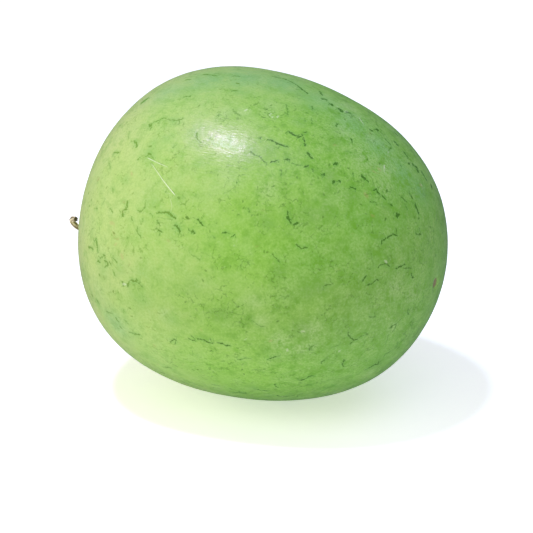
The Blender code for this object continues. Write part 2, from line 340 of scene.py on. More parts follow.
# Colours of the rind and the stem
RIND_COLOURS = (
    (0.10, (0.51, 0.615, 0.21, 1)),
    (0.35, (0.375, 0.58, 0.137, 1)),
    (0.60, (0.265, 0.525, 0.066, 1)),
    (0.92, (0.20, 0.45, 0.070, 1)),
)
# The dull greens also colour the painted shade in the dull patches
DULL_GREEN = (0.16, 0.43, 0.075, 1)
DARK_DULL_GREEN = (0.12, 0.34, 0.025, 1)  # the same nearer to the blossom end
YELLOW_GREEN = (0.44, 0.595, 0.15, 1)
LIGHT_GREEN = (0.34, 0.58, 0.13, 1)
DEEP_GREEN = (0.145, 0.385, 0.025, 1)
# Bluish green of the painted sky reflection
SKY_REFLECTION_GREEN = (0.16, 0.46, 0.25, 1)
# Whitish green of the waxy bloom, also the colour of the painted light in the pale patches
BLOOM_AND_PAINTED_LIGHT_WHITE = (0.50, 0.65, 0.29, 1)
VEIN_GREEN = (0.040, 0.178, 0.001, 1)
VEIN_YELLOWISH = (0.13, 0.29, 0.015, 1)  # of the veins near the stem end
RUSSET = (0.46, 0.34, 0.12, 1)
PALE_CORK = (0.80, 0.86, 0.58, 1)
CORK_BROWN = (0.22, 0.15, 0.07, 1)
STEM_COLOURS = (
    (0.30, (0.045, 0.035, 0.012, 1)),
    (0.45, (0.16, 0.12, 0.05, 1)),
    (0.58, (0.36, 0.29, 0.15, 1)),
    (0.75, (0.72, 0.62, 0.40, 1)),
)
CUT_BROWN = (0.06, 0.04, 0.02, 1)

# Noises: size in millimetres, detail, and roughness where it isn't the usual one
BROAD_NOISE = (34, 3)
CLOUD_NOISE = (9, 4, 0.65)
BLOOM_NOISE = (21, 3, 0.6)
GRAIN_NOISE = (1.7, 2, 0.6)
VEIN_NOISE = (2.2, 3, 0.65)
VEIN_BREAK_NOISE = (1.5, 2)
SPOT_NOISE = (1.2, 2, 0.6)
CRACKLE_WARP_NOISE = (3, 2)
CRACKLE_PATCH_NOISE = (17, 2)
CRACKLE_BREAK_NOISE = (2.4, 2)
CORK_NOISE = (2, 3)
WAX_NOISE = (5, 3, 0.6)
STREAK_NOISE = (1.4, 2)
WRINKLE_NOISE = (4.5, 3, 0.6)
STRAND_NOISE = (1, 4, 0.6)
STEM_PATCH_NOISE = (4, 3)

# Smooth steps of a noise, or of the way along the rind: from where to where, and the results there
ALONG_SWING = 0.40  # how far broad clouds carry the colours along
DULL_CLOUDS = (0.3, 0.6)
DULL_ALONG = (0.45, 0.70)
DULL_SHARES = (0.5, 0.85)
LIGHT_CLOUDS = (0.45, 0.72, 0, 0.42)
LIGHT_ALONG = (0.35, 0.65)
DEEP_CLOUDS = (0.52, 0.28, 0, 0.42)
DEEPER_ALONG = (0.50, 0.82, 1, 3)
BLOOM = (0.45, 0.70, 0, 0.10)
DARK_GRAIN = (0.40, 0.72, 0, 0.23)
PALE_GRAIN = (0.46, 0.25, 0, 0.16)
MARKS_ALONG = (0.30, 0.60)
DARK_MARK_SHARES = (0.82, 0.95)
VEIN_BREAKS = (0.3, 0.65)
VEIN_FULL_FROM = (0.02, 1)  # strengths
CRACKLE_PATCHES = (0.46, 0.60)
CRACKLE_BREAKS = (0.44, 0.58)
SCRATCH_GRAIN = (0.3, 0.5, 0.5, 1)
SCRATCH_EDGE_GRAIN = (0.35, 0.6)
WAX_SPAN = (0.3, 0.7)

# How strongly each mark tints the rind
# The pale patches' share is partly painted light
PALE_AND_LIT_SHARE = 0.30
SKY_REFLECTION_SHARE = 0.28
RUSSET_SHARE = 0.32
SPECK_SHARE = 0.40
CRACKLE_SHARE = 0.45
HALO_SHARE = 0.28
PALE_SPOT_SHARE = 0.42
SCRATCH_EDGE_SHARE = 0.6
SCRATCH_SHARE = 0.85
CORK_SHARE = 0.85

# Fine detail of the rind, with lengths in millimetres
VEIN_WOBBLE = 3.0
VEIN_HALF_WIDTHS = (0.12, 0.82)
VEIN_SOFTNESS = 0.34
VEIN_DEPTH = 0.05
HALO = (3.6, 0.3)
SPOT_STRETCH = (1.5, 0.85, 0)
SPOT_WOBBLE = 2.4
SPOT_DEPTHS = (0.6, 1.7, 0.38, 1)  # faint for small spots, full for large ones
DARK_SPOT_SOFTNESS = 0.35
PALE_SPOT_SOFTNESS = 0.7
RUSSET_SOFTNESS = 1.1
CRACKLE_SIZE = 6.5
CRACKLE_WARP = 5
CRACKLE_LINE = (0.085, 0.02)  # shares of its size
SPECK_SPACING = 5.0
SPECK_CHANCE = 0.5
SPECK_RADIUS = 0.33
SPECK_LEAST = 0.4  # of that radius, added to every speck
SPECK_SOFTNESS = 0.25
SCRATCH_HALF_WIDTH = 0.27
SCRATCH_FADE = (-0.25, 0.15)
SCRATCH_EDGE_ASIDE = 0.62
SCRATCH_EDGE_FADE = (0.45, 0.1)
SCRATCH_HEIGHT = 0.05
CORK_WOBBLE = 4.0
STEM_RING = (7.5, 4.8)
BLOSSOM_SCAR = (4.6, 2.6)
YELLOW_ROUND_STEM = (30, 8, 0, 0.35)
STREAK_SQUEEZE = (0.2, 1, 1)
STREAK_HEIGHT = 0.15
WRINKLE_HEIGHT = 0.17

# Gloss of the rind, and what dry cork and dark marks take from it
RIND_ROUGHNESS = (0.34, 0.46)
CORK_DULLING = 0.25
MARK_DULLING = 0.15
GLOSS_TINT = (1.0, 0.40, 0.62, 1)
RIND_SPECULAR = 0.72
WAX_COAT = 0.115
WAX_ROUGHNESS = 0.21

# Fine detail of the dried stem, with lengths in millimetres
FIBRE_SQUEEZE = (3.2, 3.2, 0.22)
# Painted highlight on the stem's ridges and painted shade in its grooves
RIDGE_HIGHLIGHT_AND_GROOVE_SHADE = 0.16
STEM_PATCH_SWING = 0.5
# Painted highlight: the stem gets lighter towards its bend, where it faces the light
PAINTED_BEND_HIGHLIGHT = (40.0, 50.0, 0, 0.14)  # along the stem, towards its bend
CUT_DARK = (1.3, 0.6)
CUT_SHARE = 0.8
STRAND_SPAN = (0.3, 0.7)
STEM_ROUGHNESS = (0.62, 0.85)
STRAND_HEIGHT = 0.35
STEM_PATCH_HEIGHT = 0.2

# The stage: floor, surroundings and lights, each with its way, width, power and colour
FLOOR_HALF_WIDTH = 2.4
FLOOR_WHITE = (0.93, 0.93, 0.93, 1)
FLOOR_ROUGHNESS = 0.7
FLOOR_SPECULAR = 0.2
FLOOR_GLOW = 0.45
WORLD_LIGHT = (0.97, 0.98, 0.90, 1)
WORLD_STRENGTH = 0.33
REFLECTED_LIGHT = (0.62, 0.75, 1.0, 1)
REFLECTED_STRENGTH = 0.20
BACKDROP_WHITE = (1.0, 1.0, 1.0, 1)
LIGHT_DISTANCE = 2.5
LIGHTS = (
    ("key", (-0.172, -0.204, 0.964), 0.30, 30.5, (0.86, 0.98, 1.45)),
    ("front_left", (-0.29, -0.80, 0.54), 2.0, 9, (1.02, 0.98, 0.74)),
    ("left", (-0.78, -0.57, 0.23), 2.0, 16, (1.12, 1.0, 0.93)),
    ("front", (0.33, -0.72, 0.61), 2.0, 6, (1.0, 0.98, 0.35)),
    ("right", (0.96, 0.33, 0.23), 2.0, 2, (0.90, 0.97, 1.05)),
    ("high_right", (0.45, -0.35, 0.82), 2.0, 6, (1.0, 1.0, 1.95)),
    ("behind", (0.28, 0.64, 0.72), 2.0, 4.5, (0.85, 0.85, 2.2)),
)
GLOSSY_LIGHT = "key"  # the only light that shows as a gloss


def add_object(name, data):
    thing = bpy.data.objects.new(name, data)
    bpy.context.collection.objects.link(thing)
    return thing


def set_up_camera():
    """Put the camera where the photograph was taken from."""
    right = Vector((math.cos(CAMERA_AZIMUTH), math.sin(CAMERA_AZIMUTH), 0))
    level = Vector((math.sin(CAMERA_AZIMUTH), -math.cos(CAMERA_AZIMUTH), 0))
    toward = level * math.cos(CAMERA_ELEVATION) + Vector((0, 0, math.sin(CAMERA_ELEVATION)))
    upward = toward.cross(right)
    low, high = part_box("fruit")
    middle = (Vector(low) + Vector(high)) / 2
    middle.z = (high[2] - REST_DEPTH) / 2
    aim = middle + right * AIM_RIGHT - upward * AIM_DOWN
    camera_data = bpy.data.cameras.new("camera")
    camera_data.lens = CAMERA_LENS
    camera_data.sensor_width = CAMERA_SENSOR
    camera = add_object("camera", camera_data)
    turn = Matrix((right, upward, toward)).transposed().to_4x4()
    camera.matrix_world = Matrix.Translation(aim + toward * CAMERA_DISTANCE) @ turn
    bpy.context.scene.camera = camera
    return camera


def fade(distance, start, end):
    """1 up to start, then a smooth fall to 0 at end."""
    share = np.clip((distance - start) / (end - start), 0.0, 1.0)
    return 1 - share * share * (3 - 2 * share)


def melon_points(polar, around):
    """Points of the rind in the melon's own axes: polar is 0 at the blossom end, pi at the stem end."""
    along = np.cos(polar)
    girth = np.sin(polar)
    swell = SWELL_HEIGHT * girth**2 * np.cos(SWELLS * (around + math.pi / 2))
    radius = WIDTH / 2 * girth * (1 + TAPER * along + FULLNESS * along**2) + swell
    dimple = STEM_DIMPLE_DEPTH * fade(radius, STEM_SEAT_RADIUS, STEM_DIMPLE_RADIUS)
    pit = BLOSSOM_PIT_DEPTH * fade(radius, BLOSSOM_PIT_FLOOR, BLOSSOM_PIT_RADIUS)
    x = LENGTH / 2 * along + np.where(along < 0, dimple, -pit)
    return np.stack([x, radius * np.cos(around), radius * np.sin(around)], axis=-1)


def add_attribute(mesh, name, values):
    """Keep one number, or one vector, for each corner point of a mesh."""
    kind, field = ("FLOAT", "value") if values.ndim == 1 else ("FLOAT_VECTOR", "vector")
    attribute = mesh.attributes.new(name, kind, "POINT")
    attribute.data.foreach_set(field, values.astype(np.float32).ravel())


class Melon:
    """The fine rind: its mesh, and the ways between its own axes and the frame."""

    def __init__(self):
        self.turn = np.array(Matrix.Rotation(TILT, 3, "Y"))
        ring_polar = math.pi * np.arange(1, RIND_RINGS) / RIND_RINGS
        ring_polar -= POLE_CROWDING / 2 * np.sin(2 * ring_polar)
        ring_around = 2 * math.pi * np.arange(RIND_SEGMENTS) / RIND_SEGMENTS
        polar = np.concatenate([np.repeat(ring_polar, RIND_SEGMENTS), [0, math.pi]])
        around = np.concatenate([np.tile(ring_around, len(ring_polar)), [0, 0]])
        self.own = melon_points(polar, around)
        girth = np.sin(polar)
        outward = np.stack([np.cos(polar), girth * np.cos(around), girth * np.sin(around)], axis=1)
        self.own += outward * relief(self.own)[:, None]
        self.mesh = bpy.data.meshes.new("melon_rind")
        self.mesh.from_pydata(self.own, [], ball_faces(len(ring_polar), RIND_SEGMENTS))
        self.place_in_frame()

    def place_in_frame(self):
        """Fit the melon to the box of its solid, and press it flat where it rests."""
        low, high = (np.array(corner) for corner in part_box("fruit"))
        turned = self.own @ self.turn.T
        middle = (turned.min(axis=0) + turned.max(axis=0)) / 2
        self.shift = (low + high) / 2 - middle
        self.shift[2] = high[2] - turned[:, 2].max()
        self.points = turned + self.shift
        self.points[:, 2] = np.maximum(self.points[:, 2], low[2])
        self.mesh.vertices.foreach_set("co", self.points.ravel())
        self.mesh.shade_smooth()
        self.mesh.update()
        self.normals = np.empty(self.points.shape)
        self.mesh.vertex_normals.foreach_get("vector", self.normals.ravel())
        self.tree = KDTree(len(self.points))
        for index, point in enumerate(self.points):
            self.tree.insert(point, index)
        self.tree.balance()

    def in_frame(self, own_points):
        return own_points @ self.turn.T + self.shift

    def normal_near(self, place):
        _, index, _ = self.tree.find(place)
        return Vector(self.normals[index])


def ball_faces(rings, segments):
    """Faces of a ball whose points go ring by ring, with its two poles last."""
    numbers = np.arange(rings * segments).reshape(rings, segments)
    beside = np.roll(numbers, -1, axis=1)
    quads = np.stack([numbers[:-1], numbers[1:], beside[1:], beside[:-1]], axis=-1).reshape(-1, 4)
    first_pole, last_pole = rings * segments, rings * segments + 1
    start = [(first_pole, here, there) for here, there in zip(numbers[0].tolist(), beside[0].tolist())]
    end = [(last_pole, there, here) for here, there in zip(numbers[-1].tolist(), beside[-1].tolist())]
    return quads.tolist() + start + end


def relief(points):
    """A slight unevenness of the rind, from seeded noise."""
    heights = np.zeros(len(points))
    for wavelength, height in (BROAD_RELIEF, SMALL_RELIEF):
        heights += [height * noise.noise(Vector(point) / wavelength) for point in points]
    return heights


class PhotoView:
    """Finds places on the rind from pixels of the photograph."""

    def __init__(self, camera, rind):
        self.eye = camera.matrix_world.translation.copy()
        self.turn = camera.matrix_world.to_3x3()
        self.focal = CAMERA_LENS / CAMERA_SENSOR * PHOTO_SIZE
        self.rind = rind

    def place(self, across, down):
        """The point of the rind at a pixel, or None where it is missed or seen too flatly."""
        sideways = (across - PHOTO_SIZE / 2) / self.focal
        upwards = (PHOTO_SIZE / 2 - down) / self.focal
        direction = (self.turn @ Vector((sideways, upwards, -1))).normalized()
        found, point, normal, _ = self.rind.ray_cast(self.eye, direction)
        if not found or -direction.dot(normal) < LEAST_FACING:
            return None
        return np.array(point)

    def places(self, marks):
        """The points of the rind at round marks, each with its radius in mm."""
        for across, down, radius in marks:
            place = self.place(across, down)
            if place is not None:
                yield place, radius * MM_PER_PIXEL

    def shows(self, point, normal):
        """Whether the photograph shows this place of the rind."""
        back = self.eye - Vector(point)
        if back.normalized().dot(normal) < LEAST_FACING:
            return False
        seen = self.turn.transposed() @ -back
        across = PHOTO_SIZE / 2 - self.focal * seen.x / seen.z
        down = PHOTO_SIZE / 2 + self.focal * seen.y / seen.z
        edge_across, edge_down = zip(*SHOWN_ABOVE)
        return down < np.interp(across, edge_across, edge_down)

    def widening(self, melon, place, power):
        """How much wider a mark is than it shows, where the photograph shows the rind at a slant."""
        facing = (self.eye - Vector(place)).normalized().dot(melon.normal_near(place))
        return min(MOST_WIDENING, max(facing, LEAST_FACING) ** -power)

    def line(self, pixels):
        """A line through the given pixels, laid on the rind with a point at every pixel or so."""
        places = []
        corners = np.reshape(pixels, (-1, 2))
        for start, end in zip(corners, corners[1:]):
            count = max(1, round(math.hypot(*(end - start))))
            for share in np.arange(count) / count:
                places.append(self.place(*(start + (end - start) * share)))
        places.append(self.place(*corners[-1]))
        return np.array([place for place in places if place is not None])


class MarkLayers:
    """Marks painted on the rind's points in layers, with near neighbours in different layers."""

    def __init__(self, melon, count):
        self.melon = melon
        self.taken = [np.empty((0, 3)) for _ in range(count)]
        size = len(melon.points)
        self.values = [np.tile((FAR_MM, FAR_MM, 0.0), (size, 1)) for _ in range(count)]

    def take_layer(self, line, needed):
        """Put a mark in the layer whose marks are furthest away, or nowhere if that is too near."""
        rooms = []
        for taken in self.taken:
            gaps = np.linalg.norm(taken[:, None] - line[None], axis=2)
            rooms.append(gaps.min() if gaps.size else math.inf)
        best = int(np.argmax(rooms))
        if rooms[best] < needed:
            return None
        self.taken[best] = np.concatenate([self.taken[best], line])
        return best

    def near(self, line):
        """The rind's points that a mark can reach."""
        middle = line.mean(axis=0)
        reach = np.linalg.norm(line - middle, axis=1).max() + (FIELD_REACH_MM + END_TAPER_MM) * MM
        return np.array([index for _, index, _ in self.melon.tree.find_range(middle, reach)])

    def add_line(self, line, strength, end_strength=None, needed=0.0):
        """Keep, round a line, each point's sideways distance from it and its strength there."""
        layer = self.take_layer(line, needed)
        if layer is None:
            return
        near = self.near(line)
        sideways, beyond, run = line_distances(self.melon.points[near], self.melon.normals[near], line)
        strengths = strength + ((end_strength or strength) - strength) * run
        strengths *= fade(abs(sideways), FIELD_CORE_MM, FIELD_REACH_MM) * fade(beyond, 0, END_TAPER_MM)
        values = self.values[layer]
        stronger = strengths > values[near, 2]
        values[near[stronger], 0] = sideways[stronger]
        values[near[stronger], 2] = strengths[stronger]

    def add_spot(self, place, radius_mm, needed=0.0):
        """Keep, round a spot, each point's place across and along it, and its radius."""
        line = place[None]
        layer = self.take_layer(line, needed)
        if layer is None:
            return
        near = self.near(line)
        gaps = (self.melon.points[near] - place) / MM
        inside = np.linalg.norm(gaps, axis=1) < FIELD_REACH_MM
        normal = Vector(self.melon.normals[near].mean(axis=0))
        first = normal.orthogonal().normalized()
        first.rotate(Quaternion(normal, len(self.taken[layer]) * SPOT_TURN))
        second = normal.cross(first).normalized()
        values = np.stack([gaps @ first, gaps @ second, np.full(len(near), radius_mm)], axis=1)
        self.values[layer][near[inside]] = values[inside]

    def keep(self, name):
        """Keep each layer with the rind, under the name and its number."""
        for number, values in enumerate(self.values):
            add_attribute(self.melon.mesh, f"{name}_{number}", values)


def line_distances(points, normals, line):
    """How far points are sideways from a line on the rind, with a sign, and beyond its ends, in mm.

    The third result is how far along the line each point's foot is, as a share of its length.
    """
    steps = line[1:] - line[:-1]
    lengths = np.linalg.norm(steps, axis=1)
    gaps = points[:, None] - line[None, :-1]
    shares = np.einsum("nsk,sk->ns", gaps, steps) / lengths**2
    feet = np.clip(shares, 0, 1)[..., None] * steps
    distances = np.linalg.norm(gaps - feet, axis=2)
    nearest = distances.argmin(axis=1)
    rows = np.arange(len(points))
    across = np.cross(normals, steps[nearest] / lengths[nearest, None])
    sideways = np.einsum("nk,nk->n", across, gaps[rows, nearest])
    share = shares[rows, nearest]
    before = np.where(nearest == 0, -share * lengths[0], 0)
    after = np.where(nearest == len(steps) - 1, (share - 1) * lengths[-1], 0)
    beyond = np.maximum(0, np.maximum(before, after))
    bent = np.copysign(distances[rows, nearest], sideways)
    done = np.concatenate([[0], np.cumsum(lengths)])
    run = (done[nearest] + np.clip(share, 0, 1) * lengths[nearest]) / done[-1]
    return np.where(beyond > 0, sideways, bent) / MM, beyond / MM, run


def wandering_line(melon, draw, polar, around, heading, count):
    """A short jagged line on the rind, by random steps."""
    places = [(polar, around)]
    for _ in range(count):
        step = draw.uniform(*VEIN_STEP_MM) * MM
        polar += step * math.cos(heading) / (LENGTH / 2)
        around += step * math.sin(heading) / (WIDTH / 2 * max(math.sin(polar), LEAST_GIRTH))
        heading += draw.gauss(0, BEND_SPREAD)
        places.append((polar, around))
    polars, arounds = np.array(places).T
    return melon.in_frame(melon_points(polars, arounds))


def unseen_veins(melon, view, draw):
    """Broken veins in rows from end to end, where the photograph shows none of the rind."""
    for row in range(VEIN_ROWS):
        middle = 2 * math.pi * (row + draw.uniform(-ROW_SHIFT, ROW_SHIFT)) / VEIN_ROWS
        polar = ROW_START + draw.uniform(*VEIN_GAP)
        while polar < math.pi - ROW_START:
            around = middle + draw.gauss(0, ROW_SPREAD)
            heading = draw.gauss(0, HEADING_SPREAD)
            line = wandering_line(melon, draw, polar, around, heading, draw.randint(*VEIN_STEPS))
            strength = draw.choice(OTHER_VEIN_STRENGTHS)
            if not view.shows(line[0], melon.normal_near(line[0])):
                yield line, strength
                if draw.random() < SPUR_SHARE:
                    turned = heading + draw.choice((-SPUR_TURN, SPUR_TURN))
                    spur = wandering_line(melon, draw, polar, around, turned, SPUR_STEPS)
                    yield spur, strength * SPUR_STRENGTH
            polar += draw.uniform(*VEIN_GAP)


def random_place(melon, draw):
    """A place anywhere on the rind, and its normal."""
    polar = math.acos(draw.uniform(-FURTHEST_ALONG, FURTHEST_ALONG))
    around = draw.uniform(0, 2 * math.pi)
    place = melon.in_frame(melon_points(np.array([polar]), np.array([around])))[0]
    return place, melon.normal_near(place)


def paint_veins(melon, view, draw):
    veins = MarkLayers(melon, VEIN_LAYERS)
    for group, strength in zip((BOLD_VEINS, STRONG_VEINS, PLAIN_VEINS, FAINT_VEINS), VEIN_STRENGTHS):
        for pixels in group:
            line = view.line(pixels)
            if len(line) > 1:
                veins.add_line(line, strength * view.widening(melon, line.mean(axis=0), LINE_WIDENING))
    for line, strength in unseen_veins(melon, view, draw):
        veins.add_line(line, strength, needed=VEIN_ROOM)
    for name, column in (("vein_aside", 0), ("vein_strength", 2)):
        add_attribute(melon.mesh, name, np.stack([values[:, column] for values in veins.values], axis=1))


def paint_spots(melon, view, draw, name, marks, layers, count, radii_mm):
    """The given spots of the photograph, and random ones on the sides that it doesn't show."""
    spots = MarkLayers(melon, layers)
    for place, radius_mm in view.places(marks):
        spots.add_spot(place, radius_mm * view.widening(melon, place, SPOT_WIDENING))
    for _ in range(count):
        place, normal = random_place(melon, draw)
        radius_mm = draw.uniform(*radii_mm)
        if not view.shows(place, normal):
            spots.add_spot(place, radius_mm, SPOT_ROOM)
    spots.keep(name)


def paint_scratches(melon, view):
    scratches = MarkLayers(melon, SCRATCH_LAYERS)
    for pixels, strengths in zip(SCRATCHES, SCRATCH_STRENGTHS):
        scratches.add_line(view.line(pixels), *strengths)
    scratches.keep("scratch")


def paint_patches(melon, view, draw, name, marks, count):
    """Patches whose field is 1 in the middle and falls softly to 0, and random ones elsewhere."""
    patches = [(place, radius_mm * MM) for place, radius_mm in view.places(marks)]
    for _ in range(count):
        place, normal = random_place(melon, draw)
        if not view.shows(place, normal):
            patches.append((place, draw.uniform(*PATCH_RADIUS)))
    field = np.zeros(len(melon.points))
    for place, radius in patches:
        gaps = np.linalg.norm(melon.points - place, axis=1)
        field = np.maximum(field, np.exp(-((gaps / radius) ** 2)))
    add_attribute(melon.mesh, name, field)


def paint_marks(melon, view):
    """Lay the veins, spots, scratches and patches on the rind's points."""
    draw = random.Random(MARK_SEED)
    paint_veins(melon, view, draw)
    for name, marks, layers, count, radii_mm in (
        ("dark_spot", DARK_SPOTS, SPOT_LAYERS, DARK_SPOT_COUNT, DARK_RADIUS_MM),
        ("pale_spot", PALE_SPOTS, 1, OTHER_SPOT_COUNT, OTHER_RADIUS_MM),
        ("russet_spot", RUSSET_SPOTS, 1, OTHER_SPOT_COUNT, OTHER_RADIUS_MM),
    ):
        paint_spots(melon, view, draw, name, marks, layers, count, radii_mm)
    paint_scratches(melon, view)
    for name, marks, count in (
        ("dullness_and_shade", DULL_AND_SHADED_PATCHES, PATCH_COUNT),
        ("paleness_and_light", PALE_AND_LIT_PATCHES, PATCH_COUNT),
        ("painted_sky_reflection", SKY_REFLECTION_PATCHES, 0),
    ):
        paint_patches(melon, view, draw, name, marks, count)


def add_zones(melon):
    """Keep how far along the melon each point is, and how far from the stem and the blossom scar."""
    along = melon.own[:, 0] / (LENGTH / 2)
    from_axis = np.linalg.norm(melon.own[:, 1:], axis=1) / MM
    from_stem = np.where(along < 0, from_axis, FAR_FROM_ENDS_MM)
    from_blossom = np.where(along > 0, from_axis, FAR_FROM_ENDS_MM)
    add_attribute(melon.mesh, "along", along)
    add_attribute(melon.mesh, "from_stem", from_stem)
    add_attribute(melon.mesh, "from_blossom", from_blossom)


class Nodes:
    """One material, and short ways to add nodes to it."""

    def __init__(self, name):
        self.material = bpy.data.materials.new(name)
        self.material.use_nodes = True
        self.tree = self.material.node_tree
        self.surface = self.tree.nodes["Principled BSDF"]

    def add(self, kind, **settings):
        node = self.tree.nodes.new(kind)
        for name, value in settings.items():
            setattr(node, name, value)
        return node

    def feed(self, socket, value):
        if isinstance(value, bpy.types.NodeSocket):
            self.tree.links.new(value, socket)
        else:
            socket.default_value = value

    def feed_all(self, node, values):
        for name, value in values.items():
            self.feed(node.inputs[name], value)
        return node

    def math(self, operation, *values):
        node = self.add("ShaderNodeMath", operation=operation)
        return self.feed_all(node, dict(enumerate(values))).outputs[0]

    def plus(self, first, second):
        return self.math("ADD", first, second)

    def minus(self, first, second):
        return self.math("SUBTRACT", first, second)

    def times(self, first, second):
        return self.math("MULTIPLY", first, second)

    def larger(self, first, second):
        return self.math("MAXIMUM", first, second)

    def swing(self, share, width):
        """From minus to plus half the width, as the share goes from 0 to 1."""
        return self.math("MULTIPLY_ADD", share, width, -width / 2)

    def vector(self, operation, *values):
        node = self.add("ShaderNodeVectorMath", operation=operation)
        self.feed_all(node, dict(enumerate(values)))
        return node.outputs["Value"] if operation == "LENGTH" else node.outputs["Vector"]

    def parts(self, vector):
        return self.feed_all(self.add("ShaderNodeSeparateXYZ"), {0: vector}).outputs

    def place_mm(self):
        """Where a point is on the object, in millimetres."""
        node = self.add("ShaderNodeTexCoord")
        return self.vector("MULTIPLY", node.outputs["Object"], (1 / MM,) * 3)

    def noise(self, place, size_mm, detail, roughness=0.5, output="Fac"):
        node = self.add("ShaderNodeTexNoise")
        values = {"Vector": place, "Scale": 1 / size_mm, "Detail": detail, "Roughness": roughness}
        return self.feed_all(node, values).outputs[output]

    def cells(self, place, size_mm, feature="F1"):
        node = self.add("ShaderNodeTexVoronoi", feature=feature)
        return self.feed_all(node, {"Vector": place, "Scale": 1 / size_mm}).outputs

    def rise(self, value, low, high, to_low=0.0, to_high=1.0):
        """A smooth step of value from low to high."""
        node = self.add("ShaderNodeMapRange", interpolation_type="SMOOTHSTEP")
        return self.feed_all(node, dict(enumerate((value, low, high, to_low, to_high)))).outputs[0]

    def mix(self, share, first, second):
        node = self.add("ShaderNodeMix", data_type="RGBA")
        return self.feed_all(node, {0: share, 6: first, 7: second}).outputs[2]

    def tint(self, colour, mask, share, tint):
        """A colour with a share of a tint in it where the mask is 1."""
        return self.mix(self.times(mask, share), colour, tint)

    def ramp(self, share, stops):
        node = self.feed_all(self.add("ShaderNodeValToRGB"), {0: share})
        elements = node.color_ramp.elements
        while len(elements) < len(stops):
            elements.new(0.5)
        for element, (position, colour) in zip(elements, stops):
            element.position = position
            element.color = colour
        return node.outputs[0]

    def number_of(self, name):
        return self.add("ShaderNodeAttribute", attribute_name=name).outputs["Fac"]

    def vector_of(self, name):
        return self.add("ShaderNodeAttribute", attribute_name=name).outputs["Vector"]

    def bump(self, *layers):
        """Raise the surface by the sum of the layers, each with its height in millimetres."""
        height = 0.0
        for layer, height_mm in layers:
            height = self.math("MULTIPLY_ADD", layer, height_mm, height)
        values = {"Height": height, "Distance": MM, "Strength": 1.0}
        normal = self.feed_all(self.add("ShaderNodeBump"), values).outputs[0]
        self.feed_all(self.surface, {"Normal": normal, "Coat Normal": normal})


def vein_masks(nodes, place):
    """Jagged broken veins and the dull green round them, from each point's distance from their lines."""
    aside = nodes.vector_of("vein_aside")
    strengths = nodes.parts(nodes.vector_of("vein_strength"))
    jitter = nodes.noise(place, *VEIN_NOISE, output="Color")
    wobble = nodes.vector("MULTIPLY_ADD", jitter, (VEIN_WOBBLE,) * 3, (-VEIN_WOBBLE / 2,) * 3)
    distances = nodes.parts(nodes.vector("ABSOLUTE", nodes.vector("ADD", aside, wobble)))
    breaks = nodes.noise(place, *VEIN_BREAK_NOISE)
    fullness = nodes.rise(breaks, *VEIN_BREAKS, *VEIN_HALF_WIDTHS)
    veins = 0.0
    halo = 0.0
    for distance, strength in zip(distances, strengths):
        inside = nodes.minus(nodes.times(strength, fullness), distance)
        line = nodes.rise(inside, -VEIN_SOFTNESS, VEIN_SOFTNESS)
        veins = nodes.larger(veins, nodes.times(line, nodes.rise(strength, *VEIN_FULL_FROM)))
        halo = nodes.larger(halo, nodes.times(nodes.rise(distance, *HALO), strength))
    return veins, halo


def spot_mask(nodes, place, name, softness):
    """Irregular longish spots, from each point's place within the spot near it."""
    spot = nodes.vector_of(name)
    radius = nodes.parts(spot)[2]
    distance = nodes.vector("LENGTH", nodes.vector("MULTIPLY", spot, SPOT_STRETCH))
    wobble = nodes.swing(nodes.noise(place, *SPOT_NOISE), SPOT_WOBBLE)
    inside = nodes.minus(radius, nodes.plus(distance, wobble))
    return nodes.times(nodes.rise(inside, -softness, softness), nodes.rise(radius, *SPOT_DEPTHS))


def crackle_mask(nodes, place):
    """A fine net of broken lines, in some patches only."""
    warp = nodes.noise(place, *CRACKLE_WARP_NOISE, output="Color")
    warped = nodes.vector("MULTIPLY_ADD", warp, (CRACKLE_WARP,) * 3, place)
    cells = nodes.cells(warped, CRACKLE_SIZE, "DISTANCE_TO_EDGE")
    lines = nodes.rise(cells["Distance"], *CRACKLE_LINE)
    patches = nodes.rise(nodes.noise(place, *CRACKLE_PATCH_NOISE), *CRACKLE_PATCHES)
    breaks = nodes.rise(nodes.noise(place, *CRACKLE_BREAK_NOISE), *CRACKLE_BREAKS)
    return nodes.times(nodes.times(lines, patches), breaks)


def scratch_masks(nodes, grain):
    """Thin dry scratches, paler where they are strongest, and the dark edge beside each."""
    scratch = 0.0
    edge = 0.0
    for number in range(SCRATCH_LAYERS):
        aside, _, strength = nodes.parts(nodes.vector_of(f"scratch_{number}"))
        inside = nodes.minus(SCRATCH_HALF_WIDTH, nodes.math("ABSOLUTE", aside))
        beside = nodes.math("ABSOLUTE", nodes.minus(aside, SCRATCH_EDGE_ASIDE))
        scratch = nodes.larger(scratch, nodes.times(nodes.rise(inside, *SCRATCH_FADE), strength))
        edge = nodes.larger(edge, nodes.times(nodes.rise(beside, *SCRATCH_EDGE_FADE), strength))
    scratch = nodes.times(scratch, nodes.rise(grain, *SCRATCH_GRAIN))
    return scratch, nodes.times(edge, nodes.rise(grain, *SCRATCH_EDGE_GRAIN))


def speck_mask(nodes, place):
    """Tiny specks all over: at a share of seeded places, each of its own size."""
    cells = nodes.cells(place, SPECK_SPACING)
    distance = nodes.times(cells["Distance"], SPECK_SPACING)
    chance, size, _ = nodes.parts(cells["Color"])
    radius = nodes.math("MULTIPLY_ADD", size, SPECK_RADIUS, SPECK_RADIUS * SPECK_LEAST)
    speck = nodes.rise(nodes.minus(radius, distance), -SPECK_SOFTNESS, SPECK_SOFTNESS)
    return nodes.times(speck, nodes.math("GREATER_THAN", chance, 1 - SPECK_CHANCE))


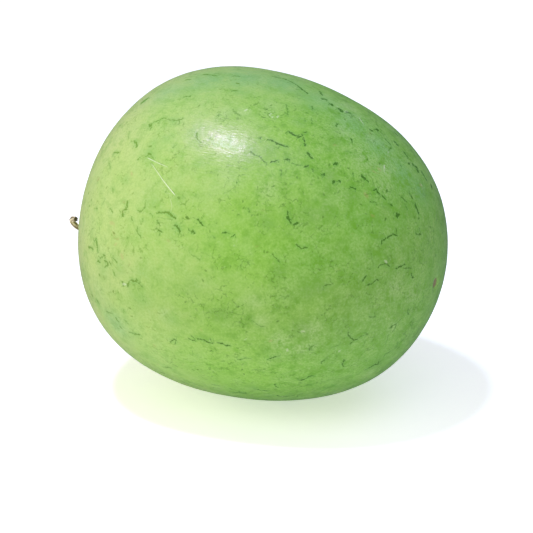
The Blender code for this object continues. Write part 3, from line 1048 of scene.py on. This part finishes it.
def ground_colour(nodes, place, along, grain):
    """The clouded rind, from its yellowish stem end to its deeper green blossom end."""
    cloudy = nodes.noise(place, *CLOUD_NOISE)
    colour = nodes.ramp(along, RIND_COLOURS)
    # Dull patches, partly painted shade, deeper towards the blossom end
    dull = nodes.times(nodes.number_of("dullness_and_shade"), nodes.rise(cloudy, *DULL_CLOUDS))
    dull_green = nodes.mix(nodes.rise(along, *DULL_ALONG), DULL_GREEN, DARK_DULL_GREEN)
    colour = nodes.tint(colour, dull, nodes.rise(along, *DULL_ALONG, *DULL_SHARES), dull_green)
    # Pale patches, partly painted light
    colour = nodes.tint(colour, nodes.number_of("paleness_and_light"), PALE_AND_LIT_SHARE, BLOOM_AND_PAINTED_LIGHT_WHITE)
    # Painted reflection of the sky along the rim
    colour = nodes.tint(colour, nodes.number_of("painted_sky_reflection"), SKY_REFLECTION_SHARE, SKY_REFLECTION_GREEN)
    light_green = nodes.mix(nodes.rise(along, *LIGHT_ALONG), YELLOW_GREEN, LIGHT_GREEN)
    colour = nodes.mix(nodes.rise(cloudy, *LIGHT_CLOUDS), colour, light_green)
    deeper = nodes.rise(along, *DEEPER_ALONG)
    colour = nodes.tint(colour, nodes.rise(cloudy, *DEEP_CLOUDS), deeper, DEEP_GREEN)
    bloom = nodes.rise(nodes.noise(place, *BLOOM_NOISE), *BLOOM)
    colour = nodes.mix(bloom, colour, BLOOM_AND_PAINTED_LIGHT_WHITE)
    colour = nodes.tint(colour, nodes.rise(grain, *DARK_GRAIN), deeper, DEEP_GREEN)
    return nodes.mix(nodes.rise(grain, *PALE_GRAIN), colour, BLOOM_AND_PAINTED_LIGHT_WHITE)


def tint_marks(nodes, place, along, grain, colour):
    """Add the marks to the colour, from the faintest to the strongest, and return their masks too."""
    dark = nodes.mix(nodes.rise(along, *MARKS_ALONG), VEIN_YELLOWISH, VEIN_GREEN)
    russet = spot_mask(nodes, place, "russet_spot_0", RUSSET_SOFTNESS)
    colour = nodes.tint(colour, russet, RUSSET_SHARE, RUSSET)
    colour = nodes.tint(colour, speck_mask(nodes, place), SPECK_SHARE, dark)
    colour = nodes.tint(colour, crackle_mask(nodes, place), CRACKLE_SHARE, dark)
    veins, halo = vein_masks(nodes, place)
    colour = nodes.tint(colour, halo, HALO_SHARE, DULL_GREEN)
    dark_marks = veins
    for number in range(SPOT_LAYERS):
        spots = spot_mask(nodes, place, f"dark_spot_{number}", DARK_SPOT_SOFTNESS)
        dark_marks = nodes.larger(dark_marks, spots)
    share = nodes.rise(along, *MARKS_ALONG, *DARK_MARK_SHARES)
    colour = nodes.tint(colour, dark_marks, share, dark)
    pale = spot_mask(nodes, place, "pale_spot_0", PALE_SPOT_SOFTNESS)
    colour = nodes.tint(colour, pale, PALE_SPOT_SHARE, PALE_CORK)
    scratch, scratch_edge = scratch_masks(nodes, grain)
    colour = nodes.tint(colour, scratch_edge, SCRATCH_EDGE_SHARE, dark)
    colour = nodes.tint(colour, scratch, SCRATCH_SHARE, PALE_CORK)
    return colour, dark_marks, veins, scratch


def tint_ends(nodes, place, colour):
    """Add the corky rings at the two ends to the colour, and return their mask too."""
    from_stem = nodes.number_of("from_stem")
    ragged = nodes.swing(nodes.noise(place, *CORK_NOISE), CORK_WOBBLE)
    stem_ring = nodes.rise(nodes.plus(from_stem, ragged), *STEM_RING)
    from_blossom = nodes.plus(nodes.number_of("from_blossom"), ragged)
    rings = nodes.larger(stem_ring, nodes.rise(from_blossom, *BLOSSOM_SCAR))
    colour = nodes.mix(nodes.rise(from_stem, *YELLOW_ROUND_STEM), colour, YELLOW_GREEN)
    return nodes.tint(colour, rings, CORK_SHARE, CORK_BROWN), rings


def make_rind_material():
    """Pale green rind: cloudy, speckled and veined, with a waxy gloss."""
    nodes = Nodes("rind")
    place = nodes.place_mm()
    grain = nodes.noise(place, *GRAIN_NOISE)
    along = nodes.math("MULTIPLY_ADD", nodes.number_of("along"), 0.5, 0.5)
    along = nodes.plus(along, nodes.swing(nodes.noise(place, *BROAD_NOISE), ALONG_SWING))
    colour = ground_colour(nodes, place, along, grain)
    colour, dark_marks, veins, scratch = tint_marks(nodes, place, along, grain, colour)
    colour, rings = tint_ends(nodes, place, colour)
    roughness = nodes.rise(nodes.noise(place, *WAX_NOISE), *WAX_SPAN, *RIND_ROUGHNESS)
    roughness = nodes.math("MULTIPLY_ADD", nodes.larger(rings, scratch), CORK_DULLING, roughness)
    roughness = nodes.math("MULTIPLY_ADD", dark_marks, MARK_DULLING, roughness)
    values = {
        "Base Color": colour,
        "Roughness": roughness,
        "Specular IOR Level": RIND_SPECULAR,
        "Specular Tint": GLOSS_TINT,
        "Coat Weight": WAX_COAT,
        "Coat Roughness": WAX_ROUGHNESS,
    }
    nodes.feed_all(nodes.surface, values)
    lengthways = nodes.vector("MULTIPLY", place, STREAK_SQUEEZE)
    nodes.bump(
        (nodes.noise(place, *WRINKLE_NOISE), WRINKLE_HEIGHT),
        (nodes.noise(lengthways, *STREAK_NOISE), STREAK_HEIGHT),
        (veins, -VEIN_DEPTH),
        (scratch, SCRATCH_HEIGHT),
    )
    return nodes.material


def stem_route():
    """The stem's middle line in the melon's own axes, and how far along it each point is."""
    seat = np.array([-LENGTH / 2 + STEM_DIMPLE_DEPTH - STEM_GAP, 0, 0])
    corners = np.array(STEM_ROUTE_MM) * (-MM, -MM, MM) + seat
    corners[0, 0] += STEM_GAP + STEM_SINK
    ends = np.concatenate([[2 * corners[0] - corners[1]], corners, [2 * corners[-1] - corners[-2]]])
    route = []
    for before, start, end, after in zip(ends, ends[1:], ends[2:], ends[3:]):
        for t in np.arange(STEM_STEPS) / STEM_STEPS:
            bend = (2 * before - 5 * start + 4 * end - after) * t**2
            twist = (3 * start - before - 3 * end + after) * t**3
            route.append(0.5 * (2 * start + (end - before) * t + bend + twist))
    route = np.array(route + [corners[-1]])
    steps = np.linalg.norm(np.diff(route, axis=0), axis=1)
    return route, np.concatenate([[0], np.cumsum(steps)])


def carried_frames(route):
    """Two directions across the stem at each point, turned as little as they can be."""
    ways = np.gradient(route, axis=0)
    ways /= np.linalg.norm(ways, axis=1)[:, None]
    first = Vector(ways[0]).orthogonal().normalized()
    firsts = []
    for way in ways:
        first = (first - Vector(way) * first.dot(Vector(way))).normalized()
        firsts.append(np.array(first))
    firsts = np.array(firsts)
    return firsts, np.cross(ways, firsts)


def tube_mesh(name, points, rings):
    """A closed tube whose points go ring by ring."""
    numbers = np.arange(len(points)).reshape(rings, -1)
    beside = np.roll(numbers, -1, axis=1)
    quads = np.stack([numbers[:-1], beside[:-1], beside[1:], numbers[1:]], axis=-1).reshape(-1, 4)
    mesh = bpy.data.meshes.new(name)
    mesh.from_pydata(points, [], quads.tolist() + [numbers[0, ::-1].tolist(), numbers[-1].tolist()])
    mesh.shade_smooth()
    return mesh


def make_stem(melon):
    """The dried stem: ribbed, twisted and knobbly, with a sunken cut end."""
    route, runs = stem_route()
    firsts, seconds = carried_frames(route)
    root = STEM_ROOT_FLARE * fade(runs, 0, STEM_ROOT_LENGTH)
    tip = STEM_TIP_TAPER * fade(runs[-1] - runs, 0, STEM_TIP_LENGTH)
    radii = STEM_RADIUS * (1 + root - tip)
    rings = [(number, 1.0) for number in range(len(route))]
    rings += [(len(route) - 1, share) for share in STEM_CUT_RINGS]
    angles = 2 * math.pi * np.arange(STEM_SIDES) / STEM_SIDES
    points = []
    ridges = []
    for number, share in rings:
        ridge = np.cos(STEM_RIBS * (angles + STEM_TWIST * runs[number]))
        ridges.append(ridge)
        across = np.outer(np.cos(angles), firsts[number]) + np.outer(np.sin(angles), seconds[number])
        above = Vector((0, 0, runs[number] / STEM_KNOB_LENGTH))
        knobs = np.array([noise.noise(Vector(way) * STEM_KNOB_TURN + above) for way in across])
        radius = radii[number] * (1 + STEM_RIB_HEIGHT * ridge + STEM_KNOBBLES * knobs) * share
        sunk = STEM_CUT_DEPTH * (1 - share) * np.cross(firsts[number], seconds[number])
        points.append(route[number] + radius[:, None] * across - sunk)
    mesh = tube_mesh("dry_stem", melon.in_frame(np.concatenate(points)), len(rings))
    ring_runs = np.array([runs[number] for number, _ in rings]) / MM
    turns = np.tile(angles, len(rings))
    fibre = np.stack([np.cos(turns), np.sin(turns), np.repeat(ring_runs, STEM_SIDES)], axis=1)
    add_attribute(mesh, "fibre", fibre)
    add_attribute(mesh, "ridge", np.concatenate(ridges))
    on_side = np.array([share == 1 for _, share in rings])
    from_cut = np.where(on_side, runs[-1] / MM - ring_runs, -1.0)
    add_attribute(mesh, "from_cut", np.repeat(from_cut, STEM_SIDES))
    mesh.materials.append(make_stem_material())
    return add_object("dry_stem", mesh)


def make_stem_material():
    """Dried vine: olive brown with pale fibres, painted highlight on its ridges and towards its bend,
    painted shade in its grooves, darker at the cut end.
    """
    nodes = Nodes("dry_stem")
    fibre = nodes.vector_of("fibre")
    strands = nodes.noise(nodes.vector("MULTIPLY", fibre, FIBRE_SQUEEZE), *STRAND_NOISE)
    patches = nodes.noise(nodes.place_mm(), *STEM_PATCH_NOISE)
    # Ridges lighter and grooves darker: painted highlight and painted shade
    light = nodes.math("MULTIPLY_ADD", nodes.number_of("ridge"), RIDGE_HIGHLIGHT_AND_GROOVE_SHADE, strands)
    light = nodes.plus(light, nodes.swing(patches, STEM_PATCH_SWING))
    # Lighter towards the bend: painted highlight
    light = nodes.plus(light, nodes.rise(nodes.parts(fibre)[2], *PAINTED_BEND_HIGHLIGHT))
    cut = nodes.rise(nodes.plus(nodes.number_of("from_cut"), patches), *CUT_DARK)
    colour = nodes.tint(nodes.ramp(light, STEM_COLOURS), cut, CUT_SHARE, CUT_BROWN)
    roughness = nodes.rise(strands, *STRAND_SPAN, *STEM_ROUGHNESS)
    nodes.feed_all(nodes.surface, {"Base Color": colour, "Roughness": roughness})
    nodes.bump((strands, STRAND_HEIGHT), (patches, STEM_PATCH_HEIGHT))
    return nodes.material


def make_stage():
    """A plain pale floor, white surroundings and soft lights."""
    plate = bmesh.new()
    bmesh.ops.create_grid(plate, x_segments=1, y_segments=1, size=FLOOR_HALF_WIDTH)
    mesh = bpy.data.meshes.new("floor")
    plate.to_mesh(mesh)
    plate.free()
    floor = add_object("floor", mesh)
    nodes = Nodes("floor")
    values = {
        "Base Color": FLOOR_WHITE,
        "Roughness": FLOOR_ROUGHNESS,
        "Specular IOR Level": FLOOR_SPECULAR,
        "Emission Color": BACKDROP_WHITE,
        "Emission Strength": FLOOR_GLOW,
    }
    nodes.feed_all(nodes.surface, values)
    mesh.materials.append(nodes.material)
    floor.visible_glossy = False
    floor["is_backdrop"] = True

    bpy.context.scene.world = make_surroundings()
    bpy.context.scene.view_settings.view_transform = "Standard"
    low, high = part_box("fruit")
    target = (Vector(low) + Vector(high)) / 2
    for name, way, width, power, colour in LIGHTS:
        light_data = bpy.data.lights.new(name, "AREA")
        light_data.shape = "DISK"
        light_data.size = width
        light_data.energy = power
        light_data.color = colour
        light = add_object(name, light_data)
        way = Vector(way).normalized()
        light.location = target + way * LIGHT_DISTANCE
        light.rotation_euler = way.to_track_quat("Z", "Y").to_euler()
        light.visible_glossy = name == GLOSSY_LIGHT
        light.visible_camera = False


def make_surroundings():
    """A soft light from all round, dimmer where it is reflected, with a white backdrop for the camera."""
    world = bpy.data.worlds.new("surroundings")
    world.use_nodes = True
    nodes = world.node_tree.nodes
    links = world.node_tree.links
    rays = nodes.new("ShaderNodeLightPath")
    seen = nodes["Background"]
    seen.inputs["Color"].default_value = WORLD_LIGHT
    seen.inputs["Strength"].default_value = WORLD_STRENGTH
    for kind, colour, strength in (
        ("Is Glossy Ray", REFLECTED_LIGHT, REFLECTED_STRENGTH),
        ("Is Camera Ray", BACKDROP_WHITE, 1.0),
    ):
        other = nodes.new("ShaderNodeBackground")
        other.inputs["Color"].default_value = colour
        other.inputs["Strength"].default_value = strength
        choice = nodes.new("ShaderNodeMixShader")
        links.new(rays.outputs[kind], choice.inputs[0])
        links.new(seen.outputs[0], choice.inputs[1])
        links.new(other.outputs[0], choice.inputs[2])
        seen = choice
    links.new(seen.outputs[0], nodes["World Output"].inputs["Surface"])
    return world


def make_rind(camera):
    melon = Melon()
    rind = add_object("melon_rind", melon.mesh)
    bpy.context.view_layer.update()
    view = PhotoView(camera, rind)
    paint_marks(melon, view)
    add_zones(melon)
    melon.mesh.materials.append(make_rind_material())
    return melon, rind


def write_sizes():
    sizes = {"cad": CAD_BOX, "visual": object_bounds()}
    plain = {name: [[float(number) for number in corner] for corner in box] for name, box in sizes.items()}


def main():
    camera = set_up_camera()
    melon, rind = make_rind(camera)
    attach(rind, "root")
    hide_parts("fruit")
    stem = make_stem(melon)
    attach(stem, "root")
    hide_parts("stem")
    make_stage()
    write_sizes()


main()
